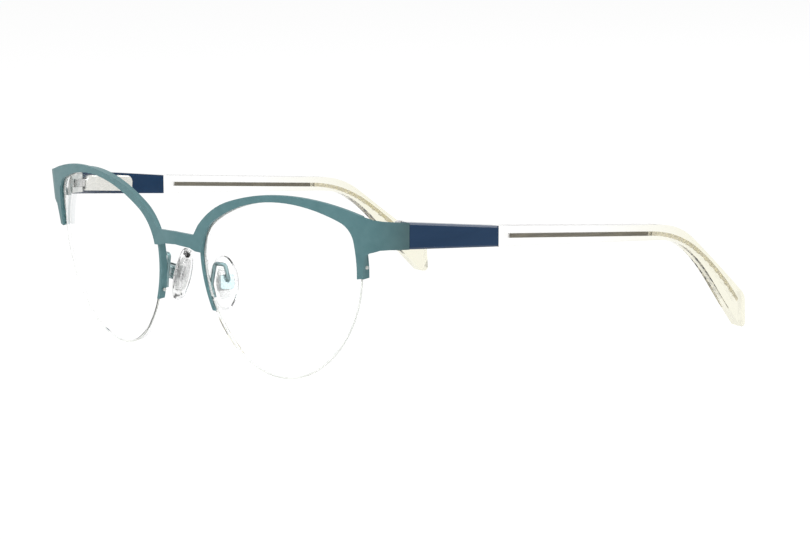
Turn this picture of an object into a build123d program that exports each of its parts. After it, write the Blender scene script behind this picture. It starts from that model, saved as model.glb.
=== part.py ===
from build123d import *
from math import asin, cos, hypot, radians, sin, sqrt
import os

os.makedirs("parts", exist_ok=True)

# A pair of half-rim eyeglasses, open, standing on the lens bottoms and the tips.
# +Z up, the front faces -Y, the temples run back along +Y. Sizes in millimetres.
# Pieces are drawn for the +X side (the wearer's left) and mirrored to the other.

# ---------------------------------------------------------------- driving sizes
fit_gap = 0.05             # sliding fit, each side
turn_gap = 0.03            # running fit of a pin in its bore, on the radius
butt_gap = 0.10            # end piece to temple when open

lean = 5.75                # forward lean of the front, degrees
front_y = -68.68           # where the front's own plane meets the table
wrap_radius = 260.0        # plan radius of the front
bridge_bow = 0.5           # how far the bridge stands forward of that sweep
bridge_half = 9.0          # half width of the bowed stretch
corner_from = 62.3         # half width where the front turns into the end piece
corner_radius = 9.0        # plan radius of that turn
turn_end = 88.0            # direction of the end piece at the hinge, degrees

plate_thick = 0.7          # stamped front plate
lens_overlap = 0.3         # plate edge seen over the lens edge
rim_gap = 0.05             # lens edge to eyewire
rim_width = 0.9
rim_depth = 1.8
groove_width = 0.6
groove_depth = 0.5         # into the eyewire
lens_groove = 0.5          # into the lens edge
lens_curve = 97.0          # front radius of the lens
lens_thick = 1.8
lens_bulge = 1.25          # lens crown in front of the sweep
cord_dia = 0.5
cord_sunk = 0.22           # cord centre inside the lens edge
cord_knob = 0.9            # melted end of the cord

nasal_point = (9.2, 27.5)  # the lens outline touches its box at these four points
top_point = (38.5, 44.6)
temporal_point = (60.3, 31.0)
bottom_point = (32.5, -0.33)
nasal_top_radius = 12.5    # upright radii of the outline's quarters
nasal_low_radius = 31.0
temporal_low_radius = 33.0
top_radius = 46.0          # brow arc, side arc and the corner between them
side_radius = 40.0
brow_corner_radius = 6.0
rim_nasal_end = 14.5       # height where the eyewire stops on the nose side
rim_temple_end = 27.2      # and on the temple side
cord_nasal_hole = 17.0
cord_temple_hole = 30.0

hinge_y = -56.29           # rear edge of the end piece
end_low = 35.1             # end piece and temple block height at the hinge
end_high = 41.45
temple_slope = 5.3         # degrees down toward the rear

pin_back = 0.85            # hinge pin behind the rear edge of the end piece
eye_mid = 38.25            # middle height of the knuckle stack
eye_tall = 2.1
knuckle_tall = 1.45
knuckle_radius = 1.2
screw_dia = 1.4
screw_head_dia = 2.1
screw_head_tall = 0.5
hinge_base_depth = 4.6     # front hinge block, in from the end piece's face

case_wide = 2.9
case_tall = 4.2
case_start = 1.55          # behind the pin
case_long = 15.5
channel = 2.1              # square channel for the plunger
channel_end = 15.0
neck_end = 5.0
bush_long = 1.0
rod_dia = 0.8
nut_start = 13.4
nut_long = 1.0
spring_wire = 0.28
spring_coils = 6
anchor_dia = 1.2
anchor_long = 1.5

block_long = 30.15         # temple block, measured back from the hinge line
block_thick = 3.0
arm_step = 0.9             # arm's outer face inside the block's
arm_thick = 2.7
temple_long = 128.85       # hinge line to tip
bend_long = 44.0           # rear stretch that curves inward
tip_inward = 4.0
wire_tall = 1.1
wire_thick = 0.9

pad_splay = 0.5            # pad turned back toward the face, slope
pad_flare = 0.25           # pad bottoms wider apart, slope
pad_long = 13.6
pad_wide = 7.2
pad_thick = 2.4
box_wide = 3.3
box_tall = 3.6
box_deep = 3.0
slot_wide = 1.2
box_floor = 0.45
pad_wire_dia = 1.0
pad_screw_dia = 0.9

lean_sin = sin(radians(lean))
lean_cos = cos(radians(lean))
pin_y = hinge_y + pin_back
bridge_turn = asin(bridge_half / wrap_radius)
corner_turn = asin(corner_from / wrap_radius)
block_outer = (
    (wrap_radius - corner_radius) * sin(corner_turn)
    + corner_radius * sin(radians(turn_end)) + 0.06
)
block_inner = block_outer - block_thick
pin_x = block_inner - case_wide / 2
arm_outer = block_outer - arm_step
arm_inner = arm_outer - arm_thick
arm_mid = (arm_outer + arm_inner) / 2

front = Plane(origin=(0, front_y, 0), x_dir=(1, 0, 0), z_dir=(0, -lean_cos, -lean_sin))
plan = Plane(origin=(0, front_y, 0), x_dir=(1, 0, 0), z_dir=(0, -lean_sin, lean_cos))
side = Plane(origin=(0, hinge_y, 0), x_dir=(0, 1, 0), z_dir=(1, 0, 0))
above = Plane(origin=(0, hinge_y, 0), x_dir=(1, 0, 0), z_dir=(0, 0, 1))
slope_sin = sin(radians(temple_slope))
slope_cos = cos(radians(temple_slope))
spring_line = Plane(
    origin=(pin_x, pin_y, eye_mid), x_dir=(1, 0, 0), z_dir=(0, slope_cos, -slope_sin)
)


# --------------------------------------------------------------- shape helpers
def on_wrap(turn, depth):
    """Plan point on the wide sweep of the front, `depth` behind its outer face."""
    return (
        (wrap_radius - depth) * sin(turn),
        wrap_radius - (wrap_radius - depth) * cos(turn),
    )


def on_corner(turn, depth):
    """Plan point on the turn into the end piece."""
    centre = on_wrap(corner_turn, corner_radius)
    reach = corner_radius - depth
    return (centre[0] + reach * sin(turn), centre[1] - reach * cos(turn))


def plan_curve(depth):
    """Half of the plan curve in the open line: bridge, sweep, corner, straight."""
    last = radians(turn_end)
    mid_wrap = (bridge_turn + corner_turn) / 2
    mid_corner = (corner_turn + last) / 2
    end = on_corner(last, depth)
    tail = (end[0] + 3 * cos(last), end[1] + 3 * sin(last))
    Spline(
        (0, depth - bridge_bow),
        on_wrap(bridge_turn, depth),
        tangents=((1, 0), (cos(bridge_turn), sin(bridge_turn))),
    )
    ThreePointArc(
        on_wrap(bridge_turn, depth), on_wrap(mid_wrap, depth), on_wrap(corner_turn, depth)
    )
    ThreePointArc(on_corner(corner_turn, depth), on_corner(mid_corner, depth), end)
    Line(end, tail)
    return tail


def sheet(near, far):
    """Half of a sheet that follows the front, between two depths behind its face."""
    with BuildPart() as wrapped:
        with BuildSketch(plan.offset(-2)):
            with BuildLine():
                outer_tail = plan_curve(near)
                inner_tail = plan_curve(far)
                Line((0, near - bridge_bow), (0, far - bridge_bow))
                Line(outer_tail, inner_tail)
            make_face()
        extrude(amount=52)
    return wrapped.part


def quarter(flat, upright, upright_radius):
    """Two tangent arcs from a level point of the outline to an upright one."""
    across = abs(flat[0] - upright[0])
    rise = abs(flat[1] - upright[1])
    right = 1 if upright[0] < flat[0] else -1
    up = 1 if flat[1] > upright[1] else -1
    flat_radius = (across**2 + rise**2 - 2 * across * upright_radius) / (
        2 * (rise - upright_radius)
    )
    upright_centre = (upright[0] + right * upright_radius, upright[1])
    flat_centre = (flat[0], flat[1] - up * flat_radius)
    gap = flat_radius - upright_radius
    share = upright_radius / gap
    meet = (
        upright_centre[0] + share * (upright_centre[0] - flat_centre[0]),
        upright_centre[1] + share * (upright_centre[1] - flat_centre[1]),
    )
    TangentArc(upright, meet, tangent=(0, up))
    TangentArc(flat, meet, tangent=(-right, 0))


def brow_crossing(grow):
    """Where the top and side arcs of the grown outline would meet."""
    top_centre = Vector(top_point[0], top_point[1] - top_radius)
    side_centre = Vector(temporal_point[0] - side_radius, temporal_point[1])
    across = side_centre - top_centre
    top_reach = top_radius + grow
    side_reach = side_radius + grow
    along = (top_reach**2 - side_reach**2 + across.length**2) / (2 * across.length)
    unit = across.normalized()
    return top_centre + unit * along + unit.rotate(Axis.Z, -90) * sqrt(top_reach**2 - along**2)


def lens_outline(grow):
    """Flat face of the lens outline, moved out by `grow`."""
    top = (top_point[0], top_point[1] + grow)
    bottom = (bottom_point[0], bottom_point[1] - grow)
    nasal = (nasal_point[0] - grow, nasal_point[1])
    temporal = (temporal_point[0] + grow, temporal_point[1])
    corner = brow_crossing(grow)
    with BuildSketch() as outline:
        with BuildLine():
            quarter(top, nasal, nasal_top_radius + grow)
            quarter(bottom, nasal, nasal_low_radius + grow)
            quarter(bottom, temporal, temporal_low_radius + grow)
            TangentArc(top, corner, tangent=(1, 0))
            TangentArc(temporal, corner, tangent=(0, 1))
        make_face()
        fillet(outline.vertices().sort_by_distance(corner)[0], brow_corner_radius + grow)
    return outline.sketch


def band(inner, outer, near, far):
    """Closed ring round the lens outline, following the sweep of the front."""
    with BuildPart() as ring:
        with BuildSketch(front):
            add(lens_outline(outer))
            add(lens_outline(inner), mode=Mode.SUBTRACT)
        extrude(amount=30, both=True)
        add(sheet(near, far), mode=Mode.INTERSECT)
    return ring.part


def in_front(u, v, depth):
    """Point given across, up the front and behind its face."""
    wrap = wrap_radius - sqrt(wrap_radius**2 - u**2)
    return front.from_local_coords((u, v, -(wrap + depth)))


def save_pair(piece, name):
    """Write the +X piece and its mirror image."""
    piece.label = "left_" + name
    export_step(piece, "parts/left_" + name + ".step")
    with BuildPart() as twin:
        mirror(piece, about=Plane.YZ)
    twin.part.label = "right_" + name
    export_step(twin.part, "parts/right_" + name + ".step")


# ------------------------------------------------------------------ front plate
def make_front_plate():
    """Brow bar with the bridge, the short temple leg and the wrapped end pieces."""
    with BuildPart() as half:
        with BuildSketch(front) as face:
            with BuildLine():
                Polyline((0, 33.7), (5.0, 33.5), (7.0, 33.4), (9.0, 36.0))
                TangentArc((21.7, 43.4), (9.0, 36.0), tangent=(-0.961, -0.276))
                ThreePointArc((21.7, 43.4), (40.85, 46.1), (62.6, 42.5))
                Polyline(
                    (62.6, 42.5), (62.6, 33.1), (61.9, 30.4), (61.3, 27.5),
                    (58.0, 27.0), (12.0, 29.1), (7.2, 29.3), (5.3, 30.0), (0, 30.4),
                )
                Line((0, 30.4), (0, 33.7))
            make_face()
            fillet(face.vertices().sort_by_distance((7.0, 33.4))[0], 0.9)
            add(lens_outline(-lens_overlap), mode=Mode.SUBTRACT)
        extrude(amount=30, both=True)
        with BuildSketch(side.offset(corner_from - 0.2)):
            with BuildLine():
                Polyline(
                    (-10.2, 44.15), (-9.1, 43.15), (-7.8, 42.4), (-5.9, 42.0), (0, end_high),
                    (0, end_low), (-4.7, 35.3), (-6.4, 35.15), (-7.7, 34.4), (-8.3, 33.2),
                    (-10.2, 33.2), (-10.2, 44.15),
                )
            make_face()
        extrude(amount=9)
        add(sheet(0, plate_thick), mode=Mode.INTERSECT)
    with BuildPart() as plate:
        add(half.part)
        mirror(half.part, about=Plane.YZ)
    return plate.part


# ------------------------------------------------- eyewire, liner, lens, cord
rim_outer = rim_gap + rim_width
groove_near = plate_thick + (rim_depth - groove_width) / 2
groove_far = groove_near + groove_width
groove_mid = (groove_near + groove_far) / 2


def rim_keep(nasal, temple):
    """Stretch of the loop that runs from one height on the nose side, over the brow."""
    with BuildPart() as stretch:
        with BuildSketch(front):
            with BuildLine():
                Polyline(
                    (0, nasal), (35, nasal), (35, temple), (75, temple), (75, 60), (0, 60),
                    (0, nasal),
                )
            make_face()
        extrude(amount=30, both=True)
    return stretch.part


def arc_edge(radius, rise):
    """How far an upright arc of the outline has turned in, `rise` below its widest point."""
    return radius - sqrt(radius**2 - rise**2)


def cord_path():
    """Cord route: in the groove from the nose-side hole, under the lens, to the other."""
    loop = lens_outline(-cord_sunk).faces()[0].outer_wire()
    steps = 28
    ring = [loop @ (k / steps) for k in range(steps)]
    low = [p for p in ring if p.Y < cord_nasal_hole - 3]
    rising = [
        p for p in ring
        if p.X > bottom_point[0] and cord_nasal_hole - 3 <= p.Y < cord_temple_hole - 3
    ]
    nasal_in = arc_edge(nasal_low_radius - cord_sunk, nasal_point[1] - cord_nasal_hole)
    temple_in = arc_edge(temporal_low_radius - cord_sunk, temporal_point[1] - cord_temple_hole)
    start = Vector(nasal_point[0] + cord_sunk + nasal_in, cord_nasal_hole)
    end = Vector(temporal_point[0] - cord_sunk - temple_in, cord_temple_hole)
    route = [start, *sorted(low, key=lambda p: p.X), *sorted(rising, key=lambda p: p.Y), end]
    return [in_front(p.X, p.Y, groove_mid) for p in route]


def make_cord(path):
    """Nylon cord with a melted knob outside each hole of the eyewire."""
    start, end = path[0], path[-1]
    out_nasal = Vector(-1, 0, 0)
    out_temple = Vector(1, 0, 0)
    knob_reach = (rim_outer + cord_sunk + cord_knob / 2) * 1.08
    with BuildPart() as cord:
        with BuildLine():
            Spline(*path)
        with BuildSketch(Plane(origin=start, z_dir=path[1] - path[0])):
            Circle(cord_dia / 2)
        sweep()
        with Locations(Plane(origin=start, z_dir=out_nasal), Plane(origin=end, z_dir=out_temple)):
            Cylinder(cord_dia / 2, knob_reach, align=(Align.CENTER, Align.CENTER, Align.MIN))
        with Locations(start + out_nasal * knob_reach, end + out_temple * knob_reach):
            Sphere(cord_knob / 2)
        with Locations(start, end):
            Sphere(cord_dia / 2)
    return cord.part


def make_eyewire(path):
    """Grooved rim bar, open below, drilled at each end for the cord."""
    with BuildPart() as rim:
        add(band(rim_gap, rim_outer, plate_thick, plate_thick + rim_depth))
        add(
            band(-1, rim_gap + groove_depth, groove_near, groove_far), mode=Mode.SUBTRACT
        )
        add(rim_keep(rim_nasal_end, rim_temple_end), mode=Mode.INTERSECT)
        with Locations(
            Plane(origin=path[0], z_dir=(-1, 0, 0)), Plane(origin=path[-1], z_dir=(1, 0, 0))
        ):
            Cylinder(
                cord_dia / 2 + turn_gap, 4, align=(Align.CENTER, Align.CENTER, Align.MIN),
                mode=Mode.SUBTRACT,
            )
    return rim.part


def make_liner():
    """Soft strip in the eyewire's groove that the lens edge rides on."""
    with BuildPart() as liner:
        add(
            band(
                fit_gap - lens_groove, rim_gap + groove_depth - fit_gap,
                groove_near + fit_gap, groove_far - fit_gap,
            )
        )
        add(rim_keep(cord_nasal_hole + 1, cord_temple_hole + 1), mode=Mode.INTERSECT)
    return liner.part


def make_lens():
    """Clear demo lens: spherical faces, edge grooved all the way round."""
    middle = (nasal_point[0] + temporal_point[0]) / 2
    turn = asin(middle / wrap_radius)
    crown = on_wrap(turn, 0)
    reach = lens_curve - lens_bulge
    centre = front.from_local_coords(
        (
            crown[0] - reach * sin(turn),
            (top_point[1] + bottom_point[1]) / 2,
            -(crown[1] + reach * cos(turn)),
        )
    )
    with BuildPart() as lens:
        with BuildSketch(front):
            add(lens_outline(0))
        extrude(amount=30, both=True)
        with Locations(centre):
            Sphere(lens_curve, mode=Mode.INTERSECT)
            Sphere(lens_curve - lens_thick, mode=Mode.SUBTRACT)
        add(band(-lens_groove, 1, groove_near, groove_far), mode=Mode.SUBTRACT)
    return lens.part


# ------------------------------------------------------------ nose-pad assembly
pad_norm = sqrt(1 + pad_splay**2 + pad_flare**2)
to_nose = Vector(-1, pad_splay, -pad_flare) / pad_norm
box_centre = Vector(11.5, -64.64, 21.3)
screw_dir = Vector(pad_splay, 1, 0).normalized()
box_plane = Plane(origin=box_centre, x_dir=screw_dir, z_dir=to_nose)
pad_back = box_deep / 2 + 0.6     # box centre to the back of the pad
insert_thick = 0.7
tab_radius = 0.95


def make_pad_box():
    """Small clevis that takes the pad's tab between its cheeks."""
    with BuildPart() as box:
        with BuildSketch(box_plane.offset(-box_deep / 2)):
            RectangleRounded(box_wide, box_tall, 0.6)
        extrude(amount=box_deep)
        with BuildSketch(box_plane.offset(box_floor - box_deep / 2)):
            Rectangle(slot_wide, box_tall + 1)
        extrude(amount=box_deep, mode=Mode.SUBTRACT)
        with Locations(Plane(origin=box_centre, z_dir=screw_dir)):
            Cylinder(pad_screw_dia / 2, box_wide + 1, mode=Mode.SUBTRACT)
    return box.part


def make_pad_arm(box, rim):
    """Bent wire from the back of the eyewire, up and over, to the pad box."""
    join = box_centre - to_nose * (box_deep / 2 - 0.1) + Vector(0, 0, 0.4)
    wire_seat = plate_thick + rim_depth + pad_wire_dia / 2 - 0.06
    with BuildPart() as arm:
        with BuildLine() as route:
            FilletPolyline(
                in_front(10.25, 17.4, wire_seat), in_front(9.5, 20.6, wire_seat),
                (9.7, -66.7, 26.0), (12.9, -66.1, 26.0), (13.9, -65.8, 22.4), join,
                radius=0.9,
            )
        with BuildSketch(Plane(origin=route.line @ 0, z_dir=route.line % 0)):
            Circle(pad_wire_dia / 2)
        sweep()
        add(box, mode=Mode.SUBTRACT)
        add(rim, mode=Mode.SUBTRACT)
    return arm.part


def oval(wide, tall, side_radius):
    """Flat oval of tangent arcs."""
    with BuildSketch() as shape:
        with BuildLine():
            quarter((0, tall / 2), (-wide / 2, 0), side_radius)
            mirror(about=Plane.XZ)
            mirror(about=Plane.YZ)
        make_face()
    return shape.sketch


def make_pad_insert():
    """Stiff core moulded into the pad, with the drilled tab that enters the box."""
    with BuildPart() as insert:
        with BuildSketch(box_plane.offset(pad_back + 0.5)):
            add(oval(pad_wide - 3.2, pad_long - 5.2, pad_long * 0.6))
        extrude(amount=insert_thick)
        with BuildSketch(Plane(origin=box_centre, x_dir=to_nose, z_dir=screw_dir)):
            Circle(tab_radius)
            with Locations(((pad_back + 0.6) / 2, 0)):
                Rectangle(pad_back + 0.6, 1.6)
            Circle(pad_screw_dia / 2 + turn_gap, mode=Mode.SUBTRACT)
        extrude(amount=slot_wide / 2 - fit_gap, both=True)
    return insert.part


def make_nose_pad(insert):
    """Silicone pad, domed toward the nose."""
    with BuildPart() as pad:
        with BuildSketch(box_plane.offset(pad_back)):
            add(oval(pad_wide, pad_long, pad_long * 0.75))
        extrude(amount=pad_thick)
        faces = pad.faces().filter_by(Plane(origin=box_centre, z_dir=to_nose))
        faces = faces.sort_by(Axis(box_centre, to_nose))
        fillet(faces[-1].edges(), 1.3)
        fillet(faces[0].edges(), 0.5)
        add(insert, mode=Mode.SUBTRACT)
    return pad.part


def make_pad_screw():
    """Tiny slotted screw through the box cheeks and the pad's tab."""
    with BuildPart() as screw:
        with Locations(Plane(origin=box_centre, z_dir=screw_dir)):
            Cylinder(pad_screw_dia / 2, box_wide)
        with BuildSketch(Plane(origin=box_centre + screw_dir * box_wide / 2, z_dir=screw_dir)) as head:
            Circle(pad_screw_dia * 0.85)
        extrude(amount=0.4)
        with BuildSketch(Plane(origin=box_centre + screw_dir * (box_wide / 2 + 0.4), z_dir=screw_dir)):
            Rectangle(0.25, 3)
        extrude(amount=-0.2, mode=Mode.SUBTRACT)
    return screw.part


# ------------------------------------------------------------------ spring hinge
stack_low = eye_mid - eye_tall / 2 - fit_gap - knuckle_tall
stack_high = eye_mid + eye_tall / 2 + fit_gap + knuckle_tall
pin_up = Plane(origin=(pin_x, pin_y, 0), x_dir=(1, 0, 0), z_dir=(0, 0, 1))


def make_front_hinge():
    """Block brazed inside the end piece, carrying the two outer knuckles."""
    with BuildPart() as hinge:
        with BuildSketch(Plane.XY.offset(stack_low)):
            with Locations((66, hinge_y - 2.55)):
                Rectangle(12, 4.7)
        extrude(amount=stack_high - stack_low)
        add(sheet(plate_thick, hinge_base_depth), mode=Mode.INTERSECT)
        for low in (stack_low, eye_mid + eye_tall / 2 + fit_gap):
            with BuildSketch(pin_up.offset(low)):
                Circle(knuckle_radius)
                with Locations((0, -1.2)):
                    Rectangle(2 * knuckle_radius, 2.4)
            extrude(amount=knuckle_tall)
        with BuildSketch(pin_up.offset(eye_mid - eye_tall / 2 - fit_gap)):
            Circle(knuckle_radius + 0.15)
        extrude(amount=eye_tall + 2 * fit_gap, mode=Mode.SUBTRACT)
        with BuildSketch(pin_up.offset(stack_low)):
            Circle(screw_dia / 2 + turn_gap)
        extrude(amount=stack_high - stack_low, mode=Mode.SUBTRACT)
    return hinge.part


def make_hinge_screw():
    """Hinge pin: a slotted cheese-head screw set from above."""
    with BuildPart() as screw:
        with BuildSketch(pin_up.offset(stack_low + 0.1)):
            Circle(screw_dia / 2)
        extrude(amount=stack_high - stack_low - 0.1 + turn_gap)
        with BuildSketch(pin_up.offset(stack_high + turn_gap)):
            Circle(screw_head_dia / 2)
        extrude(amount=screw_head_tall)
        chamfer(screw.edges().filter_by(GeomType.CIRCLE).sort_by(Axis.Z)[-1], 0.12)
        with BuildSketch(pin_up.offset(stack_high + turn_gap + screw_head_tall)):
            Rectangle(screw_head_dia + 1, 0.35)
        extrude(amount=-0.25, mode=Mode.SUBTRACT)
    return screw.part


def make_hinge_tongue():
    """Plunger: the middle knuckle, a square neck, and a rod ending in a nut."""
    with BuildPart() as tongue:
        with BuildSketch(spring_line):
            Rectangle(channel - 2 * fit_gap, channel - 2 * fit_gap)
        extrude(amount=neck_end)
        with BuildSketch(spring_line.offset(neck_end)):
            Circle(rod_dia / 2)
        extrude(amount=nut_start + nut_long - neck_end)
        with BuildSketch(spring_line.offset(nut_start)):
            RegularPolygon(channel / 2 - fit_gap, 6)
        extrude(amount=nut_long)
        with BuildSketch(pin_up.offset(eye_mid - eye_tall / 2)):
            Circle(knuckle_radius)
        extrude(amount=eye_tall)
        with BuildSketch(pin_up.offset(eye_mid - eye_tall / 2)):
            Circle(screw_dia / 2 + turn_gap)
        extrude(amount=eye_tall, mode=Mode.SUBTRACT)
    return tongue.part


def make_spring_case():
    """Closed case on the inner face of the temple, anchored by two studs."""
    with BuildPart() as case:
        with BuildSketch(Plane(origin=spring_line.origin, x_dir=spring_line.z_dir, z_dir=(1, 0, 0))) as flat:
            with Locations((case_start + case_long / 2, 0)):
                Rectangle(case_long, case_tall)
            fillet(flat.vertices().sort_by(Axis.Y)[2:], case_tall / 2 - 0.2)
            fillet(flat.vertices().sort_by(Axis.Y)[:2], 0.3)
        extrude(amount=case_wide / 2, both=True)
        fillet(case.faces().sort_by(Axis.X)[0].edges(), 0.35)
        with BuildSketch(spring_line.offset(case_start)):
            Rectangle(channel, channel)
        extrude(amount=channel_end - case_start, mode=Mode.SUBTRACT)
        with BuildSketch(Plane(origin=spring_line.origin + Vector(case_wide / 2, 0, 0),
                               x_dir=spring_line.z_dir, z_dir=(1, 0, 0))):
            with Locations((case_start + 3.5, 0), (case_start + 11, 0)):
                Circle(anchor_dia / 2)
        extrude(amount=anchor_long)
    return case.part


def make_spring_bush():
    """Square bush pressed into the case; the spring pushes against it."""
    with BuildPart() as bush:
        with BuildSketch(spring_line.offset(neck_end + 0.1)):
            Rectangle(channel, channel)
            Circle(rod_dia / 2 + fit_gap, mode=Mode.SUBTRACT)
        extrude(amount=bush_long)
    return bush.part


def make_hinge_spring():
    """Compression spring on the rod, from the bush back to the nut."""
    begin = neck_end + 0.1 + bush_long + spring_wire / 2 + 0.02
    length = nut_start - 0.02 - spring_wire / 2 - begin
    coil_radius = channel / 2 - 0.1 - spring_wire / 2
    with BuildPart() as spring:
        with BuildLine() as coil:
            Helix(
                pitch=length / spring_coils, height=length, radius=coil_radius,
                center=spring_line.offset(begin).origin, direction=spring_line.z_dir,
            )
        with BuildSketch(Plane(origin=coil.line @ 0, z_dir=coil.line % 0)):
            RegularPolygon(spring_wire / 2, 4)
        sweep(is_frenet=True)
    return spring.part


# ------------------------------------------------------------------------ temple
def make_temple_block(case):
    """Coloured front section of the temple, bevelled along its outer edges."""
    drop = (end_high - 37.65) / block_long
    with BuildPart() as block:
        with BuildSketch(side.offset(block_inner - 5)):
            with BuildLine():
                Polyline(
                    (butt_gap, end_low), (butt_gap, end_high - drop * butt_gap),
                    (block_long, 37.65), (block_long, 32.55), (butt_gap, end_low),
                )
            make_face()
        extrude(amount=12)
        with BuildSketch(above):
            with BuildLine():
                Polyline(
                    (block_inner, -1), (block_inner, 19), (arm_inner, block_long + 1),
                    (arm_outer, block_long + 1), (block_outer, -1), (block_inner, -1),
                )
            make_face()
        extrude(amount=60, mode=Mode.INTERSECT)
        outer = block.faces().sort_by(Axis.X)[-1]
        long_edges = outer.edges().sort_by(Axis.Z)
        chamfer([long_edges[0], long_edges[-1]], 0.45)
        add(case, mode=Mode.SUBTRACT)
    return block.part


def temple_band(half_thick):
    """Plan band of the arm: straight, then curving in toward the tip."""
    end = (arm_mid - tip_inward, temple_long + 1)
    with BuildPart() as swath:
        with BuildSketch(above.offset(-1)):
            with BuildLine():
                straight = Line((arm_mid, block_long), (arm_mid, temple_long - bend_long))
                TangentArc(straight @ 1, end, tangent=(0, 1))
            trace(line_width=2 * half_thick)
        extrude(amount=60)
    return swath.part


def make_core_wire():
    """Flat stiffening wire that stops a little short of each end of the arm."""
    with BuildPart() as wire:
        with BuildSketch(side.offset(arm_inner - 8)):
            with BuildLine():
                first = Line((block_long + 4.2, 34.8), (temple_long - 42.35, 30.0))
                bend = TangentArc(first @ 1, (temple_long - 22.35, 22.9), tangent=first % 1)
                TangentArc(bend @ 1, (temple_long - 3.85, 7.6), tangent=bend % 1)
            trace(line_width=wire_tall)
        extrude(amount=16)
        add(temple_band(wire_thick / 2), mode=Mode.INTERSECT)
    return wire.part


def make_clear_arm(wire):
    """Crystal acetate arm: straight, ear bend, widening paddle."""
    tip_top = (temple_long - 0.55, 8.7)
    tip_heel = (temple_long, 0)
    tip_toe = (temple_long - 2.45, 0)
    with BuildPart() as arm:
        with BuildSketch(side.offset(arm_inner - 8)) as profile:
            with BuildLine():
                top = Line((block_long, 37.65), (temple_long - 39.0, 32.0))
                over = TangentArc(top @ 1, (temple_long - 26.0, 27.2), tangent=top % 1)
                Polyline(over @ 1, tip_top, tip_heel, tip_toe, (temple_long - 10.1, 7.5))
                Spline(
                    (temple_long - 10.1, 7.5), (temple_long - 20.95, 18.8),
                    (temple_long - 29.95, 25.5), (temple_long - 42.2, 28.3),
                    tangents=((-1, 1), (-1, 0.075)),
                )
                Polyline((temple_long - 42.2, 28.3), (block_long, 32.55), (block_long, 37.65))
            make_face()
            for corner, radius in ((tip_toe, 2.0), (tip_heel, 1.2), (tip_top, 3.5)):
                fillet(profile.vertices().sort_by_distance(corner)[0], radius)
        extrude(amount=16)
        add(temple_band(arm_thick / 2), mode=Mode.INTERSECT)
        add(wire, mode=Mode.SUBTRACT)
    return arm.part


# ---------------------------------------------------------------------- assembly
front_plate = make_front_plate()
front_plate.label = "front_plate"
export_step(front_plate, "parts/front_plate.step")

cord_line = cord_path()
eyewire = make_eyewire(cord_line)
pad_box = make_pad_box()
pad_insert = make_pad_insert()
spring_case = make_spring_case()
core_wire = make_core_wire()

save_pair(eyewire, "eyewire")
save_pair(make_liner(), "lens_liner")
save_pair(make_lens(), "lens")
save_pair(make_cord(cord_line), "nylon_cord")
save_pair(pad_box, "pad_box")
save_pair(make_pad_arm(pad_box, eyewire), "pad_arm")
save_pair(pad_insert, "pad_insert")
save_pair(make_nose_pad(pad_insert), "nose_pad")
save_pair(make_pad_screw(), "pad_screw")
save_pair(make_front_hinge(), "front_hinge")
save_pair(make_hinge_screw(), "hinge_screw")
save_pair(make_hinge_tongue(), "hinge_tongue")
save_pair(spring_case, "spring_case")
save_pair(make_spring_bush(), "spring_bush")
save_pair(make_hinge_spring(), "hinge_spring")
save_pair(make_temple_block(spring_case), "temple_block")
save_pair(core_wire, "core_wire")
save_pair(make_clear_arm(core_wire), "clear_arm")
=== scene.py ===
import bpy
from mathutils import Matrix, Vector

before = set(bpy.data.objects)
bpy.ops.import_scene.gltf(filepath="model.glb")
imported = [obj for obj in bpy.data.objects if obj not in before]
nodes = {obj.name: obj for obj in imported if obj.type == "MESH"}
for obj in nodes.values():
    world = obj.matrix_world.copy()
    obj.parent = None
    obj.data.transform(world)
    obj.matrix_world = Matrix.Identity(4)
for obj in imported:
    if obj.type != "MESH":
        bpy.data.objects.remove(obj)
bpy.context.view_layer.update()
scene = bpy.context.scene

# Lengths are in metres, colours are linear, noise scales are per metre.
CAMERA_PLACE = (0.48394, -0.43973, 0.12341)
CAMERA_TARGET = (0.08404, -0.07144, 0.0338)
LENS_MM = 108.75
SENSOR_MM = 36
CLIP_NEAR, CLIP_FAR = 0.01, 20

SKY_LIGHT = 0.55
SKY_SEEN = 1.0
FLOOR_SIZE = 6
FLOOR_DROP = 0.0002
FLOOR_GREY = 0.8
FLOOR_SEEN_GREY = 0.16
FLOOR_SEEN_GLOW = 0.875

LAMP_AIM = (0, 0, 0.02)
# name: (place, size, watts)
LAMPS = {
    "key": ((-0.25, -0.95, 0.85), (0.7, 0.5), 7.0),
    "fill": ((0.95, -0.35, 0.55), (0.6, 0.6), 4.0),
    "back": ((0.1, 0.9, 0.8), (0.8, 0.4), 4.0),
}

NOISE_SPAN = (0.3, 0.7)  # most of a noise texture's values lie in here
METAL_GRAIN = 2500
DRAWN = (1, 0.05, 1)  # grain drawn out along Y
END_PIECE_Y = (-0.066, -0.057)  # from the lens edge to the hinge, the span of the painted shade on the end pieces
EAR_BEND_Y = (0.008, 0.052)  # from the straight arm to the middle of the bend


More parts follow.
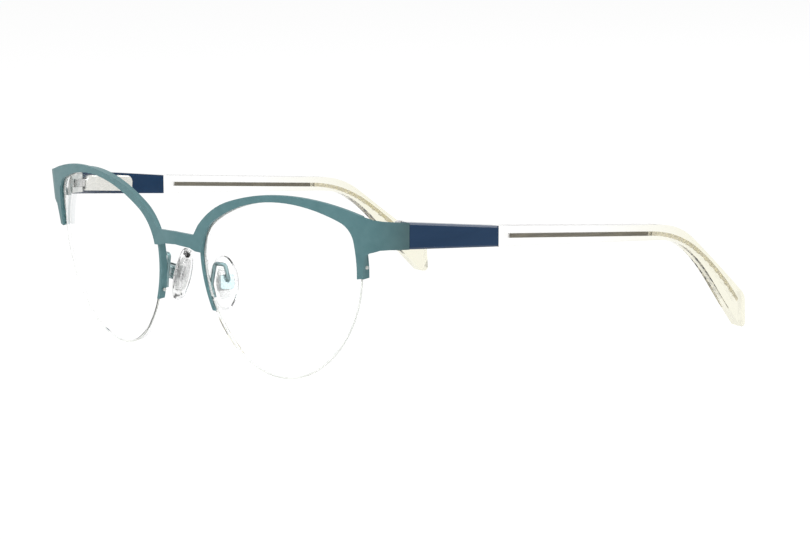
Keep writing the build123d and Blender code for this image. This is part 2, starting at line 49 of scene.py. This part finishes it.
# ------------------------------------------------------------------ materials
class Shader:
    """A node material around one Principled shader."""

    def __init__(self, name):
        self.mat = bpy.data.materials.new(name)
        self.mat.use_nodes = True
        self.tree = self.mat.node_tree
        self.tree.nodes.clear()
        self.out = self.add("ShaderNodeOutputMaterial")
        self.bsdf = self.add("ShaderNodeBsdfPrincipled")
        self.link(self.bsdf.outputs["BSDF"], self.out.inputs["Surface"])

    def add(self, kind, **values):
        node = self.tree.nodes.new(kind)
        for key, value in values.items():
            setattr(node, key, value)
        return node

    def link(self, source, socket):
        self.tree.links.new(source, socket)

    def set(self, **values):
        for key, value in values.items():
            self.bsdf.inputs[key.replace("_", " ")].default_value = value

    def object_place(self):
        return self.add("ShaderNodeTexCoord").outputs["Object"]

    def noise(self, scale, detail=2.0, stretch=(1, 1, 1)):
        mapping = self.add("ShaderNodeMapping")
        mapping.inputs["Scale"].default_value = stretch
        self.link(self.object_place(), mapping.inputs["Vector"])
        tex = self.add("ShaderNodeTexNoise")
        tex.inputs["Scale"].default_value = scale
        tex.inputs["Detail"].default_value = detail
        self.link(mapping.outputs["Vector"], tex.inputs["Vector"])
        return tex.outputs["Fac"]

    def along_y(self, start, end, at_start=0.0, at_end=1.0):
        split = self.add("ShaderNodeSeparateXYZ")
        self.link(self.object_place(), split.inputs["Vector"])
        return self.span(split.outputs["Y"], at_start, at_end, (start, end))

    def span(self, value, to_low, to_high, source=NOISE_SPAN):
        node = self.add("ShaderNodeMapRange")
        node.inputs["From Min"].default_value, node.inputs["From Max"].default_value = source
        node.inputs["To Min"].default_value = to_low
        node.inputs["To Max"].default_value = to_high
        self.link(value, node.inputs["Value"])
        return node.outputs["Result"]

    def blend(self, value, low, high, source=NOISE_SPAN):
        node = self.add("ShaderNodeValToRGB")
        for element, position, colour in zip(node.color_ramp.elements, source, (low, high)):
            element.position = position
            element.color = (*colour, 1)
        self.link(value, node.inputs["Fac"])
        return node.outputs["Color"]

    def colour(self, source):
        self.link(source, self.bsdf.inputs["Base Color"])

    def roughness(self, value, low, high):
        self.link(self.span(value, low, high), self.bsdf.inputs["Roughness"])

    def bump(self, height, strength, distance):
        node = self.add("ShaderNodeBump")
        node.inputs["Strength"].default_value = strength
        node.inputs["Distance"].default_value = distance
        self.link(height, node.inputs["Height"])
        self.link(node.outputs["Normal"], self.bsdf.inputs["Normal"])

    def clear_in_shadow(self):
        """Light passes straight through for shadow rays."""
        path = self.add("ShaderNodeLightPath")
        through = self.add("ShaderNodeBsdfTransparent")
        mix = self.add("ShaderNodeMixShader")
        self.link(path.outputs["Is Shadow Ray"], mix.inputs["Fac"])
        self.link(self.bsdf.outputs["BSDF"], mix.inputs[1])
        self.link(through.outputs["BSDF"], mix.inputs[2])
        self.link(mix.outputs["Shader"], self.out.inputs["Surface"])


def teal_paint():
    """Satin paint, with painted shade darkening the wrapped end pieces toward the hinges."""
    s = Shader("teal_paint")
    s.set(Metallic=0.15, Coat_Weight=0.25, Coat_Roughness=0.35)
    paint = s.blend(s.noise(450, detail=4), (0.060, 0.165, 0.180), (0.078, 0.190, 0.205))
    # painted shade: the paint colour is scaled down along Y toward the hinges, where the wrapped
    # end pieces turn from the light
    painted_end_shade = s.add("ShaderNodeVectorMath", operation="SCALE")
    s.link(paint, painted_end_shade.inputs[0])
    s.link(s.along_y(*END_PIECE_Y, 1.0, 0.55), painted_end_shade.inputs["Scale"])
    s.colour(painted_end_shade.outputs["Vector"])
    s.roughness(s.noise(1800), 0.40, 0.52)
    s.bump(s.noise(5200), 0.12, 0.00004)
    return s.mat


def metal(name, low, high, rough, stretch=(1, 1, 1)):
    """Brushed or tumbled metal, its roughness varying 0.06 each way."""
    s = Shader(name)
    s.set(Metallic=1.0)
    s.colour(s.blend(s.noise(900, detail=3), low, high))
    grain = s.noise(METAL_GRAIN, stretch=stretch)
    s.roughness(grain, rough - 0.06, rough + 0.06)
    s.bump(grain, 0.1, 0.00003)
    return s.mat


def navy_acetate():
    """Polished dark blue sheet, clouded along its length."""
    s = Shader("navy_acetate")
    s.set(IOR=1.49, Specular_IOR_Level=0.15)
    cloud = s.noise(160, detail=4, stretch=(1, 0.25, 1))
    s.colour(s.blend(cloud, (0.006, 0.030, 0.078), (0.011, 0.040, 0.096)))
    s.roughness(s.noise(700), 0.10, 0.18)
    s.bump(s.noise(260), 0.05, 0.0001)
    return s.mat


def clear_plastic(name, near, far, rough, ior=1.49, clarity=1.0, tint_y=None):
    """Clear moulding. `tint_y` is the stretch of Y over which its tint deepens."""
    s = Shader(name)
    s.set(IOR=ior, Transmission_Weight=clarity)
    if tint_y:
        wavy = s.add("ShaderNodeMath", operation="MULTIPLY_ADD")
        s.link(s.noise(90), wavy.inputs[0])
        wavy.inputs[1].default_value = 0.12
        s.link(s.along_y(*tint_y), wavy.inputs[2])
        s.colour(s.blend(wavy.outputs["Value"], near, far, (0.06, 1.0)))
    else:
        s.colour(s.blend(s.noise(300), near, far))
    s.roughness(s.noise(1500), rough, rough + 0.03)
    s.bump(s.noise(420), 0.03, 0.00005)
    s.clear_in_shadow()
    return s.mat


def wire_metal():
    """Rolled stiffening wire, its grain drawn along its length."""
    s = Shader("wire_steel")
    s.set(Metallic=0.35)
    grain = s.noise(2600, stretch=(1, 0.06, 1))
    s.colour(s.blend(grain, (0.55, 0.51, 0.41), (0.70, 0.66, 0.54)))
    s.roughness(grain, 0.28, 0.42)
    s.bump(grain, 0.12, 0.00003)
    return s.mat


def piece_looks():
    """The material of each kind of piece, left and right alike."""
    teal = teal_paint()
    steel = metal("screw_steel", (0.50, 0.50, 0.49), (0.58, 0.58, 0.57), 0.25)
    looks = {
        "front_plate": teal,
        "eyewire": teal,
        "pad_arm": metal("grey_metal", (0.20, 0.30, 0.31), (0.26, 0.36, 0.37), 0.32),
        "pad_box": metal("box_metal", (0.30, 0.38, 0.39), (0.38, 0.46, 0.47), 0.30),
        "front_hinge": metal("silver_metal", (0.62, 0.64, 0.63), (0.72, 0.73, 0.71), 0.32),
        "spring_case": metal("case_metal", (0.70, 0.70, 0.66), (0.80, 0.79, 0.75), 0.26, DRAWN),
        "core_wire": wire_metal(),
        "temple_block": navy_acetate(),
        "clear_arm": clear_plastic(
            "crystal_acetate", (0.985, 0.985, 0.975), (0.90, 0.88, 0.74), 0.01, tint_y=EAR_BEND_Y
        ),
        "lens": clear_plastic(
            "clear_lens", (0.992, 0.996, 0.996), (0.998, 1.0, 1.0), 0.0, ior=1.15
        ),
        "lens_liner": clear_plastic(
            "liner_nylon", (0.80, 0.82, 0.80), (0.90, 0.91, 0.89), 0.25, ior=1.3, clarity=0.4
        ),
        "nylon_cord": clear_plastic(
            "cord_nylon", (0.72, 0.73, 0.70), (0.84, 0.85, 0.82), 0.10, ior=1.3, clarity=0.5
        ),
        "pad_insert": clear_plastic("core_clear", (0.94, 0.95, 0.95), (0.98, 0.98, 0.98), 0.06),
        "nose_pad": clear_plastic(
            "pad_silicone", (0.97, 0.975, 0.97), (0.99, 0.99, 0.99), 0.04, ior=1.41
        ),
    }
    for kind in ("hinge_screw", "pad_screw", "hinge_tongue", "spring_bush", "hinge_spring"):
        looks[kind] = steel
    return looks


def dress(looks):
    for name, obj in nodes.items():
        kind = name.removeprefix("left_").removeprefix("right_")
        obj.data.materials.clear()
        obj.data.materials.append(looks[kind])


# ------------------------------------------------------------- stage and light
def white_where_seen(tree, plain, seen, out_socket):
    """`plain` lights the part, while the camera, gloss and clear pieces see `seen`."""
    path = tree.nodes.new("ShaderNodeLightPath")
    looking = path.outputs["Is Camera Ray"]
    for ray in ("Is Glossy Ray", "Is Transmission Ray"):
        larger = tree.nodes.new("ShaderNodeMath")
        larger.operation = "MAXIMUM"
        tree.links.new(looking, larger.inputs[0])
        tree.links.new(path.outputs[ray], larger.inputs[1])
        looking = larger.outputs["Value"]
    mix = tree.nodes.new("ShaderNodeMixShader")
    tree.links.new(looking, mix.inputs["Fac"])
    tree.links.new(plain, mix.inputs[1])
    tree.links.new(seen, mix.inputs[2])
    tree.links.new(mix.outputs["Shader"], out_socket)


def make_world():
    world = bpy.data.worlds.new("studio")
    scene.world = world
    world.use_nodes = True
    tree = world.node_tree
    tree.nodes.clear()
    skies = []
    for strength in (SKY_LIGHT, SKY_SEEN):
        sky = tree.nodes.new("ShaderNodeBackground")
        sky.inputs["Color"].default_value = (1, 1, 1, 1)
        sky.inputs["Strength"].default_value = strength
        skies.append(sky.outputs["Background"])
    out = tree.nodes.new("ShaderNodeOutputWorld")
    white_where_seen(tree, *skies, out.inputs["Surface"])


def make_floor():
    bpy.ops.mesh.primitive_plane_add(size=FLOOR_SIZE, location=(0, 0, -FLOOR_DROP))
    floor = bpy.context.object
    floor.name = "floor"
    mat = bpy.data.materials.new("floor_white")
    mat.use_nodes = True
    tree = mat.node_tree
    tree.nodes.clear()
    plain, seen = (tree.nodes.new("ShaderNodeBsdfDiffuse") for _ in range(2))
    plain.inputs["Color"].default_value = (FLOOR_GREY, FLOOR_GREY, FLOOR_GREY, 1)
    seen.inputs["Color"].default_value = (FLOOR_SEEN_GREY, FLOOR_SEEN_GREY, FLOOR_SEEN_GREY, 1)
    glow = tree.nodes.new("ShaderNodeEmission")
    glow.inputs["Strength"].default_value = FLOOR_SEEN_GLOW
    both = tree.nodes.new("ShaderNodeAddShader")
    tree.links.new(seen.outputs["BSDF"], both.inputs[0])
    tree.links.new(glow.outputs["Emission"], both.inputs[1])
    out = tree.nodes.new("ShaderNodeOutputMaterial")
    white_where_seen(tree, plain.outputs["BSDF"], both.outputs["Shader"], out.inputs["Surface"])
    floor.data.materials.append(mat)


def facing(place, target):
    return (Vector(target) - Vector(place)).to_track_quat("-Z", "Y").to_euler()


def add_lamp(name, place, size, watts):
    data = bpy.data.lights.new(name, "AREA")
    data.shape = "RECTANGLE"
    data.size, data.size_y = size
    data.energy = watts
    lamp = bpy.data.objects.new(name, data)
    scene.collection.objects.link(lamp)
    lamp.location = place
    lamp.rotation_euler = facing(place, LAMP_AIM)


def add_camera():
    data = bpy.data.cameras.new("camera")
    camera = bpy.data.objects.new("camera", data)
    scene.collection.objects.link(camera)
    scene.camera = camera
    data.sensor_width = SENSOR_MM
    data.sensor_fit = "HORIZONTAL"
    data.lens = LENS_MM
    data.clip_start, data.clip_end = CLIP_NEAR, CLIP_FAR
    camera.location = CAMERA_PLACE
    camera.rotation_euler = facing(CAMERA_PLACE, CAMERA_TARGET)


dress(piece_looks())
make_world()
make_floor()
for lamp_name, settings in LAMPS.items():
    add_lamp(lamp_name, *settings)
add_camera()
scene.view_settings.view_transform = "Standard"

bpy.context.view_layer.update()
